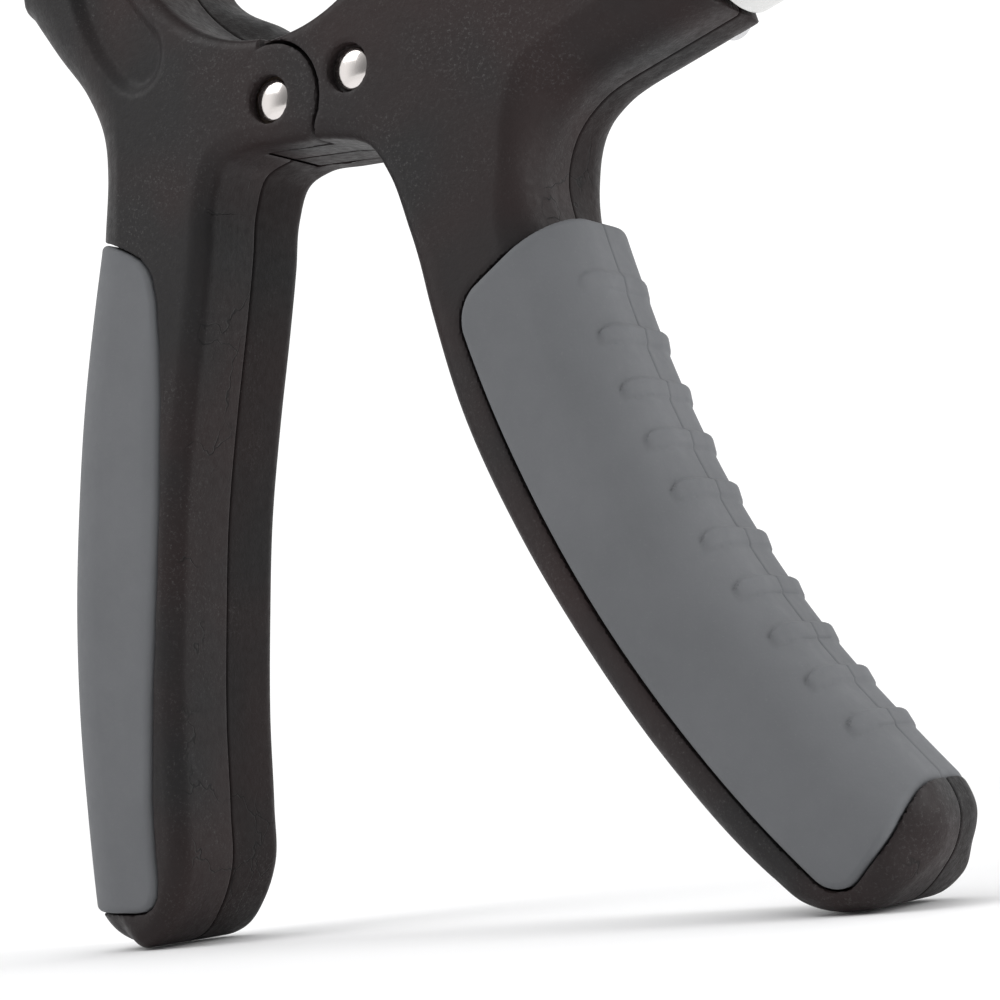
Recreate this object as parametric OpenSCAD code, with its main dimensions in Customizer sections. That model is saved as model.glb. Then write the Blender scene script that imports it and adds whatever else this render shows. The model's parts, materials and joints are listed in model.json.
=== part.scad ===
// Adjustable hand grip strengthener.
// Two levers turn on a pivot pin. The palm lever curls over the top as a hook, and an
// extension spring joins the hook to a carriage inside the main lever's barrel.
// A knob and screw move the carriage along the barrel, which sets the load.
// Everything is drawn in a working frame: x to the right, y up, z towards the front,
// with the pivot axis at the origin. placed() stands the object on its two handle ends.

/* [Handles] */
// Depth of both levers, front to back
depth = 21; // [18:0.5:26]
// Width of each handle across its grip
handle_w = 20; // [17:0.5:24]
// Radius of the corners on the outer side of a handle
outer_corner = 8; // [5:0.5:9]
// Radius of the corners on the inner side of a handle
inner_corner = 4; // [2:0.5:6]
// Wall of the hollow handles under the grips
wall = 3; // [2:0.25:4]
// Thickness of the soft grips
grip_t = 2; // [1.5:0.25:3]
// Bare strip of shell left along the inner side of a handle
bare_strip = 4.5; // [3:0.5:7]
// How far a grip runs past the centre of the handle's round end
grip_past_tip = 5.5; // [2:0.5:7]

/* [Finger ribs] */
// Number of ribs on the finger grip
rib_count = 10; // [6:1:12]
// How far a rib stands out of the grip
rib_h = 1.1; // [0.5:0.1:1.6]
// Width of a rib along the handle, in degrees of the handle's arc
rib_angle = 1.3; // [0.8:0.1:1.8]

/* [Hinge] */
// Radius of the palm lever's round knuckle
knuckle_r = 7.8; // [7:0.1:9]
// Gap between the knuckle and the main lever
knuckle_gap = 0.5; // [0.3:0.1:1]
// Radius of the pivot pin
pin_r = 2.3; // [2:0.1:3]
// Thickness of the tongue between the palm lever's cheeks
tongue_t = 10; // [8:0.5:12]

/* [Barrel and knob] */
// Slope of the barrel above the horizontal
barrel_slope = 21; // [15:1:28]
// Half height of the barrel, and the radius of the bright ring
barrel_r = 12.5; // [11:0.5:14]
// Length of the knob's bright ring along the barrel
ring_l = 5.5; // [4:0.5:7]
// Length of the knob's dark cap along the barrel
cap_l = 10; // [7:0.5:14]
// Flutes round the knob's cap
flutes = 12; // [8:1:16]
// Pitch of the adjusting screw's thread
screw_pitch = 1.5; // [1:0.25:2]
// How far the carriage can move each way from the middle
carriage_travel = 6; // [3:0.5:6]

/* [Spring] */
// Diameter of the spring wire
wire_d = 2.5; // [2:0.1:2.7]
// Radius of the coil at the middle of the wire
coil_r = 5.2; // [4.5:0.1:5.4]
// Curls in the coil
curls = 8; // [5:1:8]
// Rise of one curl
coil_pitch = 2.95; // [2.9:0.05:3.1]

/* [Hidden] */

$fn = 96;
eps = 0.01;
half = depth / 2;
big = 300;
end_corner = outer_corner - 1;

// Stance: turns the working frame so that both handle ends stand on the ground
stance = 6.5;
pivot_x = -16.51;
pivot_z = 104.74;

// The main handle is an arc about this centre, and its inner side is the longer one
main_c = [172, 27];
main_r = 147.2;
main_top_a = 191;
main_tip_a = 230.4;
main_grip_a = 199.8;
// The palm handle is a nearly straight arc, and its outer side is the longer one
palm_c = [374.8, -66];
palm_r = 400;
palm_top_a = 171.6;
palm_tip_a = 184.6;
palm_grip_a = 173.15;

// The round opening between the two levers, and the outer edge of the hook round it
opening_c = [-2, 31];
opening_r = 23;
hook_c = [-6.5, 25];
hook_r = 40;
hook_tip_a = 39;
hook_tip_r = 5;

// The barrel's axis passes through its end, where the knob starts
barrel_end = [56.5, 15.8];
along = [cos(barrel_slope), sin(barrel_slope)];
across = [-sin(barrel_slope), cos(barrel_slope)];

// Pins that show on both faces: domed heads in recesses
rivet_at = [12.3, 2.4];
rivet_r = 2.3;
head_r = 2.75;
head_recess = 1.6;
head_gap = 0.25;
dome_r = 6.3;
dome_rise = 1;
bush_t = 0.9;
washer_t = 0.4;
cheek_gap = 0.5;

// Screws that hold the two halves of each lever
shank_r = 1.2;
screw_head_r = 2.3;
screw_head_z = -5.55;
screw_end_z = 4.5;
boss_r = 3.2;

// The carriage runs in a slot in the barrel, from u to u along the barrel's axis
carriage_at = -20.5;
carriage_l = 12;
slot_from = carriage_at - carriage_l / 2 - carriage_travel - 1.5;
slot_to = carriage_at + carriage_l / 2 + carriage_travel + 2.5;
slot_half = 7.3;
slot_floor = -7;
spring_pin_r = 1.5;
ear_t = 3.4;
ear_at = 5.2;
lower_pin_v = 8.9;
eye_slot_half = 3.3;

// Adjusting screw: plain necks turn in the bearings, the thread carries the nut
screw_core_r = 2;
screw_thread_r = 2.5;
neck_r = 1.7;
nut_r = 4;
nut_l = 7;
thread_from = slot_from + 0.5;
thread_to = slot_to - 1.5;
inner_neck_from = slot_from - 6;
outer_neck_to = 8;
bearing_r = 6;
inner_bearing_r = 5;
running = 0.05;
clip_at = slot_from - 4;
clip_r = neck_r - 0.3;
clip_t = 0.6;

hook_tip = at_angle(opening_c, opening_r + 5.2, hook_tip_a);
upper_pin = hook_tip + [0.45, -1];
lower_pin = on_barrel(carriage_at, lower_pin_v);
spring_l = norm(upper_pin - lower_pin);
spring_a = atan2(upper_pin.y - lower_pin.y, upper_pin.x - lower_pin.x);

// ---- functions ----

// A point of the barrel: u along its axis from the knob end, v across it
function on_barrel(u, v = 0) = barrel_end + u * along + v * across;

function at_angle(c, r, a) = [c.x + r * cos(a), c.y + r * sin(a)];

function arc_points(c, r, a1, a2, n) = [for (i = [0:n]) at_angle(c, r, a1 + (a2 - a1) * i / n)];

function unit(v) = v / norm(v);

// The arc that rounds the corner q between p and s with radius r
function corner_points(p, q, s, r, n = 8) =
    let (to_p = unit(p - q), to_s = unit(s - q))
    let (half_angle = acos(to_p * to_s) / 2)
    let (c = q + unit(to_p + to_s) * r / sin(half_angle))
    let (t1 = q + to_p * r / tan(half_angle), t2 = q + to_s * r / tan(half_angle))
    let (a1 = atan2(t1.y - c.y, t1.x - c.x), a2 = atan2(t2.y - c.y, t2.x - c.x))
    let (turn = a2 - a1 > 180 ? a2 - a1 - 360 : a2 - a1 < -180 ? a2 - a1 + 360 : a2 - a1)
    arc_points(c, r, a1, a1 + turn, n);

// A closed outline from corners [x, y, radius]; radius 0 leaves a sharp corner
function rounded(corners) =
    let (n = len(corners))
    [
        for (i = [0:n - 1])
            let (p = corners[(i + n - 1) % n], q = corners[i], s = corners[(i + 1) % n])
            each q.z == 0 ? [[q.x, q.y]] : corner_points([p.x, p.y], [q.x, q.y], [s.x, s.y], q.z)
    ];

// A band between two radii about c, carried on past its end along the tangent
function band_points(c, r1, r2, a1, a2, past, n = 24) =
    let (run = past * [-sin(a2), cos(a2)])
    concat(
        arc_points(c, r1, a1, a2, n),
        [at_angle(c, r1, a2) + run, at_angle(c, r2, a2) + run],
        arc_points(c, r2, a2, a1, n)
    );

// ---- shared shapes ----

module placed() {
    translate([pivot_x, 0, pivot_z])
        rotate([0, stance, 0])
            rotate([90, 0, 0])
                children();
}

// Upright disc or pin along z between two depths
module pin_between(at, r, z1, z2) {
    translate([at.x, at.y, z1])
        cylinder(r = r, h = z2 - z1);
}

// Lies along the barrel: its children's z axis becomes the barrel's axis
module along_barrel(u, v = 0) {
    at = on_barrel(u, v);
    translate([at.x, at.y, 0])
        rotate([0, 0, barrel_slope])
            rotate([90, 0, 90])
                children();
}

// A box of the barrel, from u1 to u2 along it and from v1 to v2 across it
module barrel_box(u1, u2, v1, v2, z_half) {
    translate([barrel_end.x, barrel_end.y, 0])
        rotate([0, 0, barrel_slope])
            translate([u1, v1, -z_half])
                cube([u2 - u1, v2 - v1, 2 * z_half]);
}

module rounded_rect(w, d, r) {
    square([w - 2 * r, d], center = true);
    square([w, d - 2 * r], center = true);
    for (sx = [-1, 1], sy = [-1, 1])
        translate([sx * (w / 2 - r), sy * (d / 2 - r)])
            circle(r = r);
}

// Cross-section of a handle at radius r; side is +1 where the outer side has the longer radius
module handle_section(r, side, inset) {
    w = handle_w - 2 * inset;
    d = depth - 2 * inset;
    translate([r, 0])
        intersection() {
            translate([-side * handle_w / 2, 0])
                rounded_rect(w + handle_w, d, outer_corner - inset);
            translate([side * handle_w / 2, 0])
                rounded_rect(w + handle_w, d, inner_corner - min(inset, inner_corner - 1));
        }
}

// Round end of a handle, turned about the middle of its section
module handle_end(at, inset) {
    translate([at.x, at.y, 0])
        rotate_extrude()
            intersection() {
                rounded_rect(handle_w - 2 * inset, depth - 2 * inset, end_corner - inset);
                translate([0, -depth])
                    square([depth, 2 * depth]);
            }
}

module handle_solid(c, r, side, a1, a2, inset = 0) {
    translate([c.x, c.y, 0])
        rotate([0, 0, a1])
            rotate_extrude(angle = a2 - a1)
                handle_section(r, side, inset);
    handle_end(at_angle(c, r, a2), inset);
}

module main_handle(inset = 0) {
    handle_solid(main_c, main_r, -1, main_top_a, main_tip_a, inset);
}

module palm_handle(inset = 0) {
    handle_solid(palm_c, palm_r, 1, palm_top_a, palm_tip_a, inset);
}

module slab(points, z_half = half) {
    translate([0, 0, -z_half])
        linear_extrude(2 * z_half)
            polygon(points);
}

module front_half() {
    intersection() {
        children();
        translate([-big, -big, 0])
            cube([2 * big, 2 * big, depth]);
    }
}

module rear_half() {
    intersection() {
        children();
        translate([-big, -big, -depth])
            cube([2 * big, 2 * big, depth]);
    }
}

// ---- main lever ----

main_grip_inner = main_r + handle_w / 2 - bare_strip;
main_screws = [
    at_angle(main_c, main_r, 195.5), at_angle(main_c, main_r, 207),
    at_angle(main_c, main_r, 217.5), at_angle(main_c, main_r, 228), on_barrel(-4, -9.4)
];

module main_grip_area() {
    slab(band_points(main_c, main_grip_inner, main_r - handle_w, main_grip_a, main_tip_a,
        grip_past_tip), depth);
}

// Corners of the head: barrel, hinge underside, arch and neck
main_head = [
    concat(on_barrel(0, -barrel_r), 1),
    concat(on_barrel(0, barrel_r), 1),
    concat(on_barrel(-59, barrel_r), 0),
    [-3, -5.6, 0],
    [16.6, -6.4, 6],
    [22.5, -17, 0],
    [39.5, -14, 0],
    concat(on_barrel(-23.5, -barrel_r), 11)
];

module main_outline_solid() {
    main_handle();
    slab(rounded(main_head));
}

module round_cut(at, r) {
    translate([at.x, at.y, -depth])
        cylinder(r = r, h = 2 * depth);
}

module hinge_tongue() {
    pin_between([0, 0], knuckle_r - 0.6, -tongue_t / 2, tongue_t / 2);
    slab([[0, -5.2], [10, -5.2], [10, 7], [0, 7]], tongue_t / 2);
}

module main_cavity() {
    barrel_box(slot_from, slot_to, slot_floor, 2 * barrel_r, slot_half);
    along_barrel(inner_neck_from - 1)
        cylinder(r = 3, h = 60);
    along_barrel(slot_from - 3)
        cylinder(r = inner_bearing_r, h = 6);
    along_barrel(slot_to)
        cylinder(r = bearing_r, h = 8);
    difference() {
        handle_solid(main_c, main_r, -1, main_grip_a - 2, main_tip_a, grip_t + wall);
        for (at = main_screws)
            pin_between(at, boss_r, -half, half);
    }
}

module pin_heads_cut(at, r) {
    round_cut(at, r);
    pin_between(at, head_r + head_gap, half - head_recess, depth);
    pin_between(at, head_r + head_gap, -depth, -half + head_recess);
}

// Seats for the shell screws: shank hole in both shells, head recess in the rear one
module screw_cuts(places) {
    for (at = places) {
        pin_between(at, shank_r + running, -depth, screw_end_z + 0.5);
        pin_between(at, screw_head_r + 0.2, -depth, screw_head_z + running);
    }
}

module main_body() {
    difference() {
        union() {
            difference() {
                main_outline_solid();
                round_cut([0, 0], knuckle_r + knuckle_gap);
                round_cut(opening_c, opening_r);
            }
            hinge_tongue();
        }
        main_cavity();
        intersection() {
            difference() {
                main_handle(-1);
                main_handle(grip_t);
            }
            main_grip_area();
        }
        round_cut([0, 0], pin_r + running);
        pin_heads_cut(rivet_at, rivet_r);
        screw_cuts(main_screws);
    }
}

module main_front_shell() {
    color([0.13, 0.12, 0.12])
        placed()
            front_half()
                main_body();
}

module main_rear_shell() {
    color([0.13, 0.12, 0.12])
        placed()
            rear_half()
                main_body();
}

rib_first_a = 202;
rib_last_a = 227.4;

module rib_slots() {
    for (i = [0:rib_count - 1]) {
        a = rib_first_a + (rib_last_a - rib_first_a) * i / (rib_count - 1);
        slab([
            at_angle(main_c, main_r, a - rib_angle / 2), at_angle(main_c, main_r, a + rib_angle / 2),
            at_angle(main_c, main_r - handle_w, a + rib_angle / 2),
            at_angle(main_c, main_r - handle_w, a - rib_angle / 2)
        ], half - 1.5);
    }
}

module finger_grip() {
    color([0.36, 0.37, 0.39])
        placed() {
            intersection() {
                difference() {
                    main_handle();
                    main_handle(grip_t);
                }
                main_grip_area();
            }
            intersection() {
                difference() {
                    main_handle(-rib_h);
                    main_handle(grip_t / 2);
                }
                rib_slots();
            }
        }
}

// Pan head screws put in from the rear
module shell_screws(places) {
    color("silver")
        placed()
            for (at = places)
                difference() {
                    union() {
                        pin_between(at, shank_r, screw_head_z - 1, screw_end_z);
                        pin_between(at, screw_head_r, screw_head_z - 2, screw_head_z);
                    }
                    translate([at.x, at.y, screw_head_z - 2]) {
                        cube([3, 0.6, 1.2], center = true);
                        cube([0.6, 3, 1.2], center = true);
                    }
                }
}

module main_shell_screws() {
    shell_screws(main_screws);
}

// ---- hinge ----

// A pin with a low domed head at each end, seen in recesses of the shells
module domed_pin(at, r) {
    pin_between(at, r, -half + head_recess, half - head_recess);
    for (s = [-1, 1])
        translate([at.x, at.y, s * (half - head_recess)])
            intersection() {
                cylinder(r = head_r, h = 2 * head_recess, center = true);
                translate([0, 0, -s * (dome_r - dome_rise)])
                    sphere(r = dome_r);
                translate([0, 0, s * head_recess])
                    cube([2 * depth, 2 * depth, 2 * head_recess], center = true);
            }
}

module pivot_pin() {
    color([0.78, 0.76, 0.74])
        placed()
            domed_pin([0, 0], pin_r);
}

module body_rivet() {
    color([0.78, 0.76, 0.74])
        placed()
            domed_pin(rivet_at, rivet_r);
}

module hinge_washers() {
    color("ivory")
        placed()
            for (s = [-1, 1])
                difference() {
                    translate([0, 0, s * (tongue_t + washer_t) / 2])
                        cylinder(r = 5.2, h = washer_t, center = true);
                    cylinder(r = pin_r + running, h = depth, center = true);
                }
}

// ---- adjusting mechanism ----

module ring_between(r_in, r_out, h) {
    difference() {
        cylinder(r = r_out, h = h);
        translate([0, 0, -eps])
            cylinder(r = r_in, h = h + 2 * eps);
    }
}

module adjusting_screw() {
    color("silver")
        placed() {
            difference() {
                along_barrel(inner_neck_from)
                    cylinder(r = neck_r, h = outer_neck_to - inner_neck_from);
                along_barrel(clip_at)
                    ring_between(clip_r, neck_r + 1, clip_t);
            }
            along_barrel(thread_from)
                cylinder(r = screw_core_r, h = thread_to - thread_from);
            for (u = [thread_from + screw_pitch / 2:screw_pitch:thread_to - screw_pitch / 2])
                along_barrel(u - screw_pitch / 4)
                    cylinder(r = screw_thread_r, h = screw_pitch / 2);
        }
}

module outer_bearing() {
    color("ivory")
        placed()
            along_barrel(slot_to)
                ring_between(neck_r + running, bearing_r, 5.4);
}

module inner_bearing() {
    color("ivory")
        placed()
            along_barrel(slot_from - 3)
                ring_between(neck_r + running, inner_bearing_r, 3);
}

module thrust_washer() {
    color("silver")
        placed()
            along_barrel(slot_to - 1.3)
                ring_between(neck_r + running, 4.5, 1.2);
}

module retaining_clip() {
    color("silver")
        placed()
            along_barrel(clip_at)
                difference() {
                    ring_between(clip_r, 2.9, clip_t);
                    translate([0, 1, -1])
                        cube([1.6, 4, 3]);
                }
}

module knob_ring() {
    color([0.83, 0.83, 0.82])
        placed()
            along_barrel(0.5)
                ring_between(10, barrel_r, ring_l);
}

module knob_cap() {
    color([0.2, 0.2, 0.22])
        placed()
            difference() {
                union() {
                    along_barrel(0.7)
                        cylinder(r = 10, h = ring_l);
                    along_barrel(0.5 + ring_l)
                        rotate_extrude()
                            intersection() {
                                square([11.2, cap_l]);
                                translate([0, cap_l - 22])
                                    circle(r = 22);
                                rounded_rect(22.4, 2 * cap_l, 2);
                            }
                }
                for (i = [0:flutes - 1])
                    along_barrel(1.5 + ring_l)
                        rotate([0, 0, 360 * i / flutes])
                            translate([12.3, 0, 0])
                                cylinder(r = 2.1, h = 2 * cap_l);
                along_barrel(-5)
                    cylinder(r = neck_r, h = 13);
                along_barrel(8)
                    cylinder(r = 3.6, h = 20);
            }
}

module knob_screw() {
    color("silver")
        placed()
            difference() {
                along_barrel(8)
                    cylinder(r = 3.2, h = 2.2);
                along_barrel(9.2)
                    cylinder(r = 1.5, h = 3, $fn = 6);
            }
}

module knob_plug() {
    color([0.2, 0.2, 0.22])
        placed()
            along_barrel(0.5 + ring_l + cap_l - 3)
                cylinder(r = 3.6 - running, h = 2.6);
}

module carriage() {
    color([0.75, 0.2, 0.15])
        placed()
            difference() {
                union() {
                    barrel_box(carriage_at - carriage_l / 2, carriage_at + carriage_l / 2,
                        slot_floor + 0.4, 4.3, slot_half - 0.35);
                    for (s = [-1, 1])
                        translate([lower_pin.x, lower_pin.y, s * ear_at - ear_t / 2])
                            cylinder(r = 3, h = ear_t);
                    for (s = [-1, 1])
                        translate([0, 0, s * ear_at])
                            barrel_box(carriage_at - 3, carriage_at + 3, 2, lower_pin_v, ear_t / 2);
                }
                along_barrel(carriage_at - carriage_l)
                    cylinder(r = screw_thread_r + 0.3, h = 2 * carriage_l);
                along_barrel(carriage_at - nut_l / 2)
                    cylinder(r = nut_r, h = nut_l);
                pin_between(lower_pin, spring_pin_r, -depth, depth);
            }
}

module carriage_nut() {
    color([0.8, 0.62, 0.3])
        placed()
            along_barrel(carriage_at - nut_l / 2)
                ring_between(screw_thread_r + running, nut_r, nut_l);
}

module lower_spring_pin() {
    color("silver")
        placed()
            pin_between(lower_pin, spring_pin_r, -6.9, 6.9);
}

// A small tab on the carriage's top edge that points at the barrel's rim
module load_pointer() {
    color([0.9, 0.9, 0.88])
        placed()
            for (s = [-1, 1])
                translate([0, 0, s * 6.1])
                    barrel_box(carriage_at + 3.6, carriage_at + 5.4, 4.3, barrel_r - 0.6, 0.7);
}

// ---- palm lever ----

palm_grip_inner = palm_r - handle_w / 2 + bare_strip;
palm_screws = [
    [-21, -4], at_angle(palm_c, palm_r, 177), at_angle(palm_c, palm_r, 180.3),
    at_angle(palm_c, palm_r, 183.7), at_angle(opening_c, 29.4, 115)
];

// Corners of the palm lever's middle: hinge bar, neck and the flank under the hook
palm_middle = [
    [0, -5, 0],
    [-11.6, -5, 6],
    [-12.9, -16, 0],
    [-31.6, -16, 0],
    [-30.2, -4, 14],
    [-46.1, 19.4, 0],
    [-24, 26, 0],
    [0, 12, 0]
];

module palm_grip_area() {
    slab(band_points(palm_c, palm_grip_inner, palm_r + handle_w, palm_grip_a, palm_tip_a,
        grip_past_tip), depth);
}

// The hook runs from the flank over the top to its tip, and gets slimmer on the way
module hook_outline() {
    difference() {
        translate(hook_c)
            circle(r = hook_r);
        polygon([
            opening_c, opening_c + 80 * [cos(hook_tip_a), sin(hook_tip_a)], [90, -60],
            [-30, -60], [-30.2, -4], [-46.5, 19.4]
        ]);
    }
}

module palm_outline_solid() {
    palm_handle();
    slab(rounded(palm_middle));
    translate([0, 0, -half])
        linear_extrude(depth)
            hook_outline();
    pin_between([0, 0], knuckle_r, -half, half);
    pin_between(hook_tip, hook_tip_r, -half, half);
}

// Recess on both faces of the hook: broad at its lower end and pointed at the top
dimple_r = 30.5;
dimple_from = 228;
dimple_to = 178;
dimple_depth = 1.2;

dimple_half_w = 4.6;

// Edge of the recess at t from its lower end to its point; side is +1 outside, -1 inside
function dimple_point(t, side) = at_angle(opening_c,
    dimple_r + side * dimple_half_w * sqrt(1 - pow(t, 1.6)), dimple_from + (dimple_to - dimple_from) * t);

module dimples() {
    n = 16;
    side = [for (i = [0:n]) i / n];
    points = [
        for (i = [0:n]) dimple_point(side[i], 1),
        for (i = [n - 1:-1:0]) dimple_point(side[i], -1)
    ];
    for (z = [half - dimple_depth, -half - depth + dimple_depth])
        translate([0, 0, z])
            linear_extrude(depth)
                polygon(points);
}

module palm_body() {
    difference() {
        palm_outline_solid();
        round_cut(opening_c, opening_r);
        // Room between the cheeks for the tongue and the head behind it
        pin_between([0, 0], knuckle_r, -tongue_t / 2 - cheek_gap, tongue_t / 2 + cheek_gap);
        slab([[0, -20], [30, -20], [30, 20], [0, 20]], tongue_t / 2 + cheek_gap);
        pin_heads_cut([0, 0], pin_r + bush_t);
        // Slot in the hook's tip for the eye of the spring
        pin_between(upper_pin, 8, -eye_slot_half, eye_slot_half);
        pin_between(upper_pin, spring_pin_r, -7, 7);
        dimples();
        difference() {
            handle_solid(palm_c, palm_r, 1, palm_grip_a + 2.4, palm_tip_a, grip_t + wall);
            for (at = palm_screws)
                pin_between(at, boss_r, -half, half);
        }
        intersection() {
            difference() {
                palm_handle(-1);
                palm_handle(grip_t);
            }
            palm_grip_area();
        }
        screw_cuts(palm_screws);
    }
}

module palm_front_shell() {
    color([0.13, 0.12, 0.12])
        placed()
            front_half()
                palm_body();
}

module palm_rear_shell() {
    color([0.13, 0.12, 0.12])
        placed()
            rear_half()
                palm_body();
}

module palm_grip() {
    color([0.36, 0.37, 0.39])
        placed()
            intersection() {
                difference() {
                    palm_handle();
                    palm_handle(grip_t);
                }
                palm_grip_area();
            }
}

module palm_shell_screws() {
    shell_screws(palm_screws);
}

module pivot_bushes() {
    color([0.8, 0.62, 0.3])
        placed()
            for (s = [-1, 1])
                translate([0, 0, s * (half - head_recess + tongue_t / 2 + cheek_gap) / 2])
                    difference() {
                        cylinder(r = pin_r + bush_t, h = half - head_recess - tongue_t / 2 - cheek_gap,
                            center = true);
                        cylinder(r = pin_r + running, h = depth, center = true);
                    }
}

module upper_spring_pin() {
    color("silver")
        placed()
            pin_between(upper_pin, spring_pin_r, -7, 7);
}

// ---- spring ----

// The spring is drawn with its axis along y, from the lower pin to the upper one:
// an eye round each pin, and the coil between them, all as one wire.
eye_r = spring_pin_r + wire_d / 2 + 0.4;
coil_l = curls * coil_pitch;
coil_from = (spring_l - coil_l) / 2;
curl_rings = 8;

// Point of the coil at a number of turns from its start, which faces -x
function coil_at(turns) = [
    -coil_r * cos(360 * turns), coil_from + coil_pitch * turns, coil_r * sin(360 * turns)
];

function ease(t) = t * t * (3 - 2 * t);

// From the side of an eye up to the coil: turns eases from the straight run into the curl
function lead_in(t) = let (straight = [-eye_r, t * coil_from, 0]) (1 - ease(t)) * straight
    + ease(t) * coil_at((t - 1) * 0.3);

// Half of the wire: open eye round the lower pin, then the run up to the coil
eye_points = [for (a = [50:-23:-170]) [eye_r * cos(a), eye_r * sin(a), 0]];
lead_points = [for (i = [0:5]) lead_in(i / 6)];
lower_half = concat(eye_points, lead_points);
coil_points = [for (i = [0:curls * curl_rings]) coil_at(i / curl_rings)];

// The upper end is the lower one turned half a turn about the coil's middle
function turned_over(p) = [p.x, spring_l - p.y, -p.z];
upper_half = [for (i = [len(lower_half) - 1:-1:0]) turned_over(lower_half[i])];
wire_path = concat(lower_half, coil_points, upper_half);

function tangent(path, i) =
    unit(path[min(i + 1, len(path) - 1)] - path[max(i - 1, 0)]);

function flattened(v, t) = unit(v - (v * t) * t);

// Each ring's first direction, carried along the wire without twist
function ring_normals(path) = [
    for (
        i = 0, n = flattened([0, 0, 1], tangent(path, 0));
        i < len(path);
        i = i + 1, n = flattened(n, tangent(path, min(i, len(path) - 1)))
    ) n
];

// A closed tube round a path: rings of points, joined by triangles
module tube(path, r, sides) {
    normals = ring_normals(path);
    last = len(path) - 1;
    points = [
        for (i = [0:last], k = [0:sides - 1])
            path[i] + r * (cos(360 * k / sides) * normals[i]
                + sin(360 * k / sides) * cross(tangent(path, i), normals[i]))
    ];
    walls = [
        for (i = [0:last - 1], k = [0:sides - 1])
            let (a = i * sides + k, b = i * sides + (k + 1) % sides)
            each [[a, b + sides, b], [a, a + sides, b + sides]]
    ];
    caps = [
        for (k = [1:sides - 2])
            each [[0, k, k + 1], [last * sides, last * sides + k + 1, last * sides + k]]
    ];
    polyhedron(points = points, faces = concat(walls, caps), convexity = 10);
}

// Least gap of the wire to itself, between points more than half a curl apart
wire_gap = min([
    for (i = [0:len(wire_path) - 1], j = [i + 4:1:len(wire_path) - 1])
        norm(wire_path[i] - wire_path[j])
]) - wire_d;
echo(least_wire_gap = wire_gap);

module main_spring() {
    color([0.75, 0.75, 0.76])
        placed()
            translate([lower_pin.x, lower_pin.y, 0])
                rotate([0, 0, spring_a - 90])
                    tube(wire_path, wire_d / 2, 6);
}

main_front_shell();
main_rear_shell();
finger_grip();
main_shell_screws();
pivot_pin();
hinge_washers();
body_rivet();
outer_bearing();
inner_bearing();
thrust_washer();
adjusting_screw();
retaining_clip();
knob_ring();
knob_cap();
knob_screw();
knob_plug();
carriage();
carriage_nut();
lower_spring_pin();
load_pointer();
palm_front_shell();
palm_rear_shell();
palm_grip();
palm_shell_screws();
pivot_bushes();
upper_spring_pin();
main_spring();
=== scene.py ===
import bpy
import json
import math
import numpy as np
from mathutils import Matrix


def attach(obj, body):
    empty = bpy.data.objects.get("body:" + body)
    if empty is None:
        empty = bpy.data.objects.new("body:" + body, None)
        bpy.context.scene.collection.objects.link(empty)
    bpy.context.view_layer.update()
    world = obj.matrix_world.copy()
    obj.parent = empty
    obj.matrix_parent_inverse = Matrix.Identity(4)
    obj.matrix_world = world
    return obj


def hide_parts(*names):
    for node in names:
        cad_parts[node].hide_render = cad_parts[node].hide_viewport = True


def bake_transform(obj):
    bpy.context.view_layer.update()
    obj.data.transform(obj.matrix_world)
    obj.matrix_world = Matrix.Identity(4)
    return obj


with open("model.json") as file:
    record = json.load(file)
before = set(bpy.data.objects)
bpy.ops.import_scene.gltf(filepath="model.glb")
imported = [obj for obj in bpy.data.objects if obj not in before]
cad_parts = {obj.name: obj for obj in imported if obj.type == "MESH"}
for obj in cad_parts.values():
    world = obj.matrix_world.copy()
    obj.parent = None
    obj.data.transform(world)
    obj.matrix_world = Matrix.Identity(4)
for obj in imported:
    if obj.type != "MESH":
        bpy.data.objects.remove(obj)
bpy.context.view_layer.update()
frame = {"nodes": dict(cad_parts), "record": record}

# ---- frame: modelling is in mm in a working frame (x right, y up, z to the front, origin on the
# pivot axis), which to_row() turns by the stance and moves into the row frame, in metres ----
STANCE = math.radians(6.5)
PIVOT = (-16.51, 104.74)
CS, SN = math.cos(STANCE), math.sin(STANCE)


def to_row(p):
    p = np.asarray(p, float)
    x, y, z = p[..., 0], p[..., 1], p[..., 2]
    return np.stack([PIVOT[0] + x * CS + y * SN, -z, PIVOT[1] - x * SN + y * CS], -1) / 1000


def dir_row(v):
    x, y, z = v
    return np.array([x * CS + y * SN, -z, -x * SN + y * CS])


# ---- camera ----
AZ = math.radians(34)
CAMERA_AT = (191.07, -64.88, 241.98)
eye = to_row(CAMERA_AT)
right = dir_row((math.cos(AZ), 0, -math.sin(AZ)))
up = dir_row((0, 1, 0))
back = dir_row((math.sin(AZ), 0, math.cos(AZ)))
cam_data = bpy.data.cameras.new("camera")
cam = bpy.data.objects.new("camera", cam_data)
bpy.context.scene.collection.objects.link(cam)
cam.matrix_world = Matrix([[right[i], up[i], back[i], eye[i]] for i in range(3)] + [[0, 0, 0, 1]])
cam_data.sensor_width = 36
cam_data.lens = 86.4
cam_data.shift_y = 0.12
cam_data.clip_start = 0.01
bpy.context.scene.camera = cam

# ---- floor and light ----
SHARP = math.radians(38)
FLOOR_HALF = 6


def mesh_object(name, verts, faces):
    """A smooth-shaded mesh whose edges sharper than SHARP stay crisp."""
    me = bpy.data.meshes.new(name)
    me.from_pydata([tuple(v) for v in verts], [], [tuple(f) for f in faces])
    me.validate()
    me.update()
    o = bpy.data.objects.new(name, me)
    bpy.context.scene.collection.objects.link(o)
    me.polygons.foreach_set("use_smooth", [True] * len(me.polygons))
    me.set_sharp_from_angle(angle=SHARP)
    return o


floor_corners = [(FLOOR_HALF * i, FLOOR_HALF * j, 0) for i, j in ((-1, -1), (1, -1), (1, 1), (-1, 1))]
floor = mesh_object("floor", floor_corners, [(0, 1, 2, 3)])


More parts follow.
